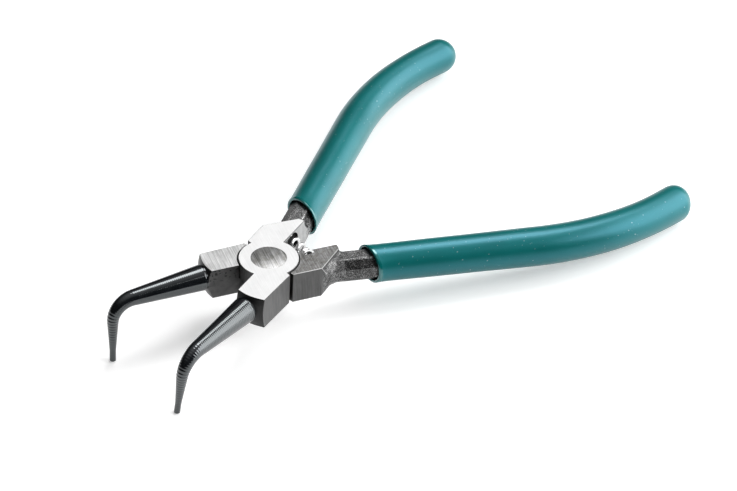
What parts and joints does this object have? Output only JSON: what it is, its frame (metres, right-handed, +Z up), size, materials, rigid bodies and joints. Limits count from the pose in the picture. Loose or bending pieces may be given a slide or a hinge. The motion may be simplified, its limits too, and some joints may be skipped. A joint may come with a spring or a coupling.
{
  "type": "snap ring pliers",
  "caption": "Spring-opened pliers with two lapped levers, round tapered jaws bent down to small parallel tips, and sleeved handles, for rings seated in a bore.",
  "frame": {"origin": "middle of the footprint, on the table plane that both tips and both sleeve ends touch", "axes": "+X from the handles towards the jaws, +Y towards the upper lever's jaw, +Z up"},
  "size_m": [0.1622, 0.1102, 0.0204],
  "materials": {
    "lever_steel": "ground faces, dark oiled jaws",
    "rivet_steel": "ground flush",
    "spring_wire": "bright plated",
    "sleeve": "satin"
  },
  "bodies": {
    "upper": {"upper_lever": "lever_steel", "pivot_rivet": "rivet_steel", "upper_grip": "sleeve", "return_spring": "spring_wire"},
    "lower": {"lower_lever": "lever_steel", "lower_grip": "sleeve"}
  },
  "joints": [
    {"name": "pivot", "type": "hinge", "parent": "upper", "child": "lower", "pos_m": [0.03542, 0, 0.0142], "axis": [-0.0816, 0, 0.9967], "range_deg": [-6, 32.5], "stiffness_Nm_per_rad": 0.33, "deforming": ["return_spring"]}
  ]
}
